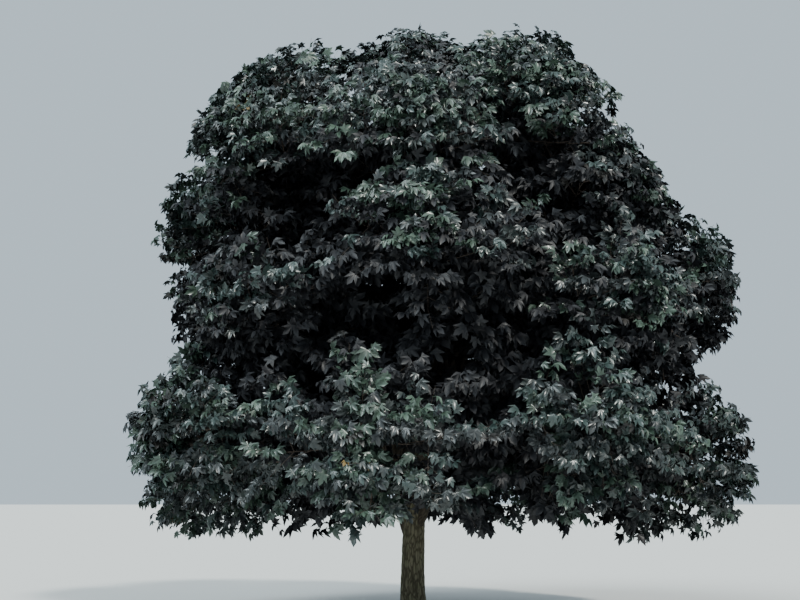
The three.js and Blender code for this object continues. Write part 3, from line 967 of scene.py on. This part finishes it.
def shoot_tints(mass, shoots, rng):
    """Most shoots share the tint of their spray, some have their own, and deep ones get painted shade.
    """
    sprays = shoots["spray"]
    steady = TINT_SHARES[:-1] / TINT_SHARES[:-1].sum()
    of_spray = rng.choice(len(steady), sprays.max() + 1, p=steady)
    own = rng.choice(len(TINT_SHARES), len(sprays), p=TINT_SHARES)
    tints = np.where(rng.random(len(sprays)) < SPRAY_TINT_SHARE, of_spray[sprays], own)
    space = mass["space"]
    below = (space.centre[2] - shoots["start"][:, 2]) / space.halves[2]
    lowest = mass["tier"] is TIERS[0]
    shade = 0 if lowest else UNDERSIDE_SHADE * np.clip(below + UNDERSIDE_START, 0, UNDERSIDE_MOST)
    depth = how_far_out(shoots["start"]) - shade + rng.normal(0, SHADE_JITTER, len(sprays))
    # tint 0 is the painted shade
    return np.where(depth < SHADE_LIMIT, 0, tints)


print("the trunk's tip is this far out:", how_far_out(TRUNK_LEAN[-1:])[0])

# %% [markdown]
# ## Leaves on the shoots
#
# Along each shoot the leaves sit in opposite pairs on long stalks, with one more at the tip, so
# that none shades its neighbour. Blades tip towards the light and hang from the stalk, overlapping
# like shingles. Leaves in the shade grow larger than those in the sun. Every leaf gets its own
# frame: the way its tip points, and the way its upper face looks.

# %% Place leaves along a batch of shoots

LEAF_PAIRS = 3
LEAF_GROWTH = ((0.65, 0.95), (1.4, 0.9))  # how far out, and how large the leaves are there
LEAF_SIZE_JITTER = 0.16
LEAF_SIZES = (0.6, 1.35)
FIRST_LEAVES = 0.35  # of the shoot's length
STALK = dict(length=0.08, lengths=(0.6, 1.3), jitter=0.22, lift=0.2)
STALK.update(splay=64, less_splay=8, splay_jitter=14)  # degrees; higher pairs splay less
FACE = dict(up=0.55, out=0.66, jitter=0.48, flatten=(1, 1, 0.35))
TIP = dict(stalk=0.75, out=0.5, hang=0.45, jitter=0.2)


def place_leaves(mass, shoots, rng):
    """For every leaf its stalk's root and end, the way of its tip and face, its size and tint."""
    parts = []
    count = len(shoots["length"])
    ahead = shoots["direction"]
    tint = shoot_tints(mass, shoots, rng)
    growth = np.interp(how_far_out(shoots["start"]), *LEAF_GROWTH)
    level = unit(np.cross(UP, ahead) + TINY)
    for k in range(2 * LEAF_PAIRS + 1):
        pair = k // 2
        at = blend(FIRST_LEAVES, 1.0, pair / LEAF_PAIRS)
        root = shoots["start"] + ahead * (shoots["length"] * at)[:, None]
        side = 0 if k == 2 * LEAF_PAIRS else 2 * (k % 2) - 1
        splay = STALK["splay"] - STALK["less_splay"] * pair
        turn = np.radians(rng.normal(splay, STALK["splay_jitter"], count)) * side
        stalk = ahead * np.cos(turn)[:, None] + level * np.sin(turn)[:, None]
        stalk = unit(stalk + rng.normal(0, STALK["jitter"], (count, 3)) + STALK["lift"] * UP)
        out = unit((root - CROWN_MIDDLE) / CROWN_HALVES**2)
        end = root + stalk * (STALK["length"] * rng.uniform(*STALK["lengths"], count))[:, None]
        droop = unit(out * FACE["flatten"])
        face = unit(FACE["up"] * UP + FACE["out"] * droop + rng.normal(0, FACE["jitter"], (count, 3)))
        tip = TIP["stalk"] * stalk + TIP["out"] * out - TIP["hang"] * UP
        tip = tip + rng.normal(0, TIP["jitter"], (count, 3))
        tip = unit(tip - face * (tip * face).sum(1)[:, None])
        size = rng.normal(1.0, LEAF_SIZE_JITTER, count).clip(*LEAF_SIZES) * growth
        parts.append(dict(root=root, end=end, tip=tip, face=face, size=size, tint=tint))
    return together(*parts)


# %% [markdown]
# The one leaf is then set into all those frames at once, and its stalk becomes one thin triangle.
# A leaf that would reach out of the solids' box, out of its mass or in front of the fork is
# skipped here, so nothing has to be cut off later.

# %% Turn leaf frames into triangles

LEAF_SLACK = 0.1  # how far a stalk's end may stand out of its mass
FORK_SLACK = 0.02
STALK_RADIUS = 0.002


def leaf_arrays(leaves, space):
    ends, tips, faces = leaves["end"], leaves["tip"], leaves["face"]
    sides = np.cross(tips, faces)
    local = LEAF_POINTS[None] * leaves["size"][:, None, None]
    blades = ends[:, None] + local[..., :1] * sides[:, None] + local[..., 1:2] * tips[:, None]
    blades = blades + local[..., 2:] * faces[:, None]
    in_box = ((blades > BOX_LOW) & (blades < BOX_HIGH)).all(axis=(1, 2))
    inside = in_box & space.holds(ends, LEAF_SLACK) & clear_of_fork(ends + FORK_SLACK * UP)
    edge = sides * STALK_RADIUS
    stalks = np.stack([leaves["root"], ends + edge, ends - edge], axis=1)
    points = np.concatenate([blades, stalks], axis=1)[inside]
    stalk_corners = len(LEAF_POINTS) + np.arange(3)
    shape = np.vstack([LEAF_FACES, stalk_corners])
    triangles = np.arange(len(points))[:, None, None] * points.shape[1] + shape[None]
    slots = np.repeat(leaves["tint"][inside], len(shape))
    return points.reshape(-1, 3), triangles.reshape(-1, 3), slots


# %% [markdown]
# ## Rules for each order of twigs
#
# Side twigs stand all round their parent, and shoots lie flat on either side of it. Twigs from the
# stem itself fill the inside of a mass, where daylight would show through otherwise, and carry
# more shoots. Lengths are in metres and angles in degrees.

# %% Name the rules of growth

SPRAY_OVERLAP = 0.16  # how far sprays reach in among the neighbour's
TWIG_RULE = dict(places=[0.28, 0.5, 0.72, 0.9], splay=58, flat=False, lean=0.15)
TWIG_RULE.update(share=0.8, longest=0.7, shortest=0.08, stray=0.0)
TUFT_RULE = dict(TWIG_RULE, longest=0.4)
SHOOT_RULE = dict(places=[0.34, 0.68], splay=50, flat=True, lean=0.1)
SHOOT_RULE.update(share=0.9, longest=0.28, shortest=0.05, stray=0.16)
INNER_RULE = dict(places=[0.12, 0.38, 0.62], splay=74, flat=False, lean=-0.1)
INNER_RULE.update(share=0.85, longest=1.2, shortest=0.1, stray=0.0)
INNER_SHOOTS = dict(SHOOT_RULE, places=[0.25, 0.45, 0.65, 0.85])

STEM_TIP = 0.012  # radii at the foot and the tip of each order
FIRST_RADII = (0.011, 0.005)
SIDE_RADII = (0.0055, 0.003)
INNER_RADII = (0.007, 0.003)
SHOOT_RADII = (0.003, 0.0018)
print("longest side twig and shoot:", TWIG_RULE["longest"], SHOOT_RULE["longest"])

# %% [markdown]
# ## Dress every mass
#
# Now the rules run mass by mass: the stem that carries on from the bough, the first twigs, side
# twigs, shoots, and leaves. Each mass becomes two pieces, its twigs and its leaves.

# %% Grow the twigs and leaves of every mass


def grow_twigs(mass, rng):
    """The stem, first, side and inner twigs of a mass, and all the shoots on them."""
    space = mass["space"]
    stem_tip, first = first_twigs(mass)
    space.loosen(SPRAY_OVERLAP)
    way = (stem_tip - mass["foot"])[None]
    stem = dict(start=mass["foot"][None], direction=unit(way), length=np.linalg.norm(way, axis=1))
    twig_rule = TUFT_RULE if mass is tuft else TWIG_RULE
    second = side_twigs(together(first, stem), space, rng, twig_rule)
    shoots = side_twigs(second, space, rng, SHOOT_RULE)
    inner = side_twigs(stem, space, rng, INNER_RULE)
    inner_shoots = side_twigs(inner, space, rng, INNER_SHOOTS)
    inner_shoots["spray"] = inner_shoots["spray"] + second["spray"].max() + 1
    return stem, first, second, inner, together(shoots, inner_shoots)


def dress(mass):
    rng = np.random.default_rng(mass["seed"])
    stem, first, second, inner, shoots = grow_twigs(mass, rng)
    sticks = [
        stick_arrays(stem, mass["stem_radius"], STEM_TIP, 6),
        stick_arrays(first, *FIRST_RADII, 4),
        stick_arrays(second, *SIDE_RADII, 2),
        stick_arrays(inner, *INNER_RADII, 3),
        stick_arrays(shoots, *SHOOT_RADII, 1),
    ]
    shift = 0
    points, quads = [], []
    for stick_points, stick_quads in sticks:
        points.append(stick_points)
        quads.append(stick_quads + shift)
        shift += len(stick_points)
    twigs = joined_mesh(mass["name"] + "_twigs", np.concatenate(points), np.concatenate(quads))
    add_piece(mass["name"] + "_twigs", twigs, [twig_bark], [mass["name"]])
    blades = leaf_arrays(place_leaves(mass, shoots, rng), mass["space"])
    leaves = joined_mesh(mass["name"] + "_leaves", *blades)
    add_piece(mass["name"] + "_leaves", leaves, leaf_materials, [mass["name"]])
    return len(shoots["length"]), len(leaves.polygons), 2 * len(twigs.polygons)


totals = np.array([dress(mass) for mass in masses])
print("shoots, leaf triangles, twig triangles:", totals.sum(0), "most in one mass:", totals.max(0))

# %% [markdown]
# ## The floor
#
# The portrait stands on a plain pale floor, so wide that its edge looks like the horizon. It is
# part of the stage and not of the tree, and lies just below the trunk's flat cut.

# %% Lay the floor

FLOOR_REACH = 380
FLOOR_DROP = 0.002
FLOOR_GREY = (0.62, 0.62, 0.6, 1)

ground = bmesh.new()
bmesh.ops.create_grid(ground, x_segments=4, y_segments=4, size=FLOOR_REACH)
floor_data = finished_mesh("floor", ground)
floor = bpy.data.objects.new("floor", floor_data)
floor.location.z = -FLOOR_DROP
floor_data.materials.append(new_material("pale_floor", Base_Color=FLOOR_GREY, Roughness=0.9)[0])
bpy.context.scene.collection.objects.link(floor)
print("floor reaches", FLOOR_REACH, "m each way")

# %% [markdown]
# ## The light
#
# A key light from high on the front right gives the sprays their lit tops. A softer, cooler fill
# from the front left stands for the bright part of the sky, and an even pale sky does the rest, so
# the waxy leaves have something to reflect.

# %% Light the tree


def add_sun(name, azimuth, elevation, strength, spread, colour):
    lamp = bpy.data.lights.new(name, "SUN")
    lamp.energy = strength
    lamp.angle = math.radians(spread)
    lamp.color = colour
    sun = bpy.data.objects.new(name, lamp)
    turn = math.radians(azimuth)
    rise = math.radians(elevation)
    way = Vector((math.cos(turn) * math.cos(rise), math.sin(turn) * math.cos(rise), math.sin(rise)))
    sun.rotation_euler = way.to_track_quat("Z", "Y").to_euler()
    bpy.context.scene.collection.objects.link(sun)
    print(name, "light from", azimuth, elevation, "degrees, strength", strength)


add_sun("key", -56, 48, 3.1, 6, (1.0, 1.0, 0.93))
add_sun("fill", -132, 52, 2.5, 30, (0.86, 0.97, 1.0))

SKY_COLOUR = (0.66, 0.80, 0.90, 1)
SKY_STRENGTH = 0.9
world = bpy.data.worlds.new("studio")
world.use_nodes = True
sky = world.node_tree.nodes["Background"]
sky.inputs["Color"].default_value = SKY_COLOUR
sky.inputs["Strength"].default_value = SKY_STRENGTH
bpy.context.scene.world = world

# %% [markdown]
# ## The camera
#
# The camera stands at eye height about fifteen metres off, tipped up a little, so the crown fills
# the frame and the foot of the trunk is just below it.

# %% Place the camera

EYE = (-0.166, -15.4, 1.6)
TIPPED_UP = 10.2  # degrees
SIGHT = 1500

camera_data = bpy.data.cameras.new("camera")
camera_data.lens = 50
camera_data.sensor_width = 36
camera_data.clip_end = SIGHT
camera = bpy.data.objects.new("camera", camera_data)
camera.location = EYE
camera.rotation_euler = (math.radians(90 + TIPPED_UP), 0, 0)
bpy.context.scene.collection.objects.link(camera)
bpy.context.scene.camera = camera
print("camera at", EYE)
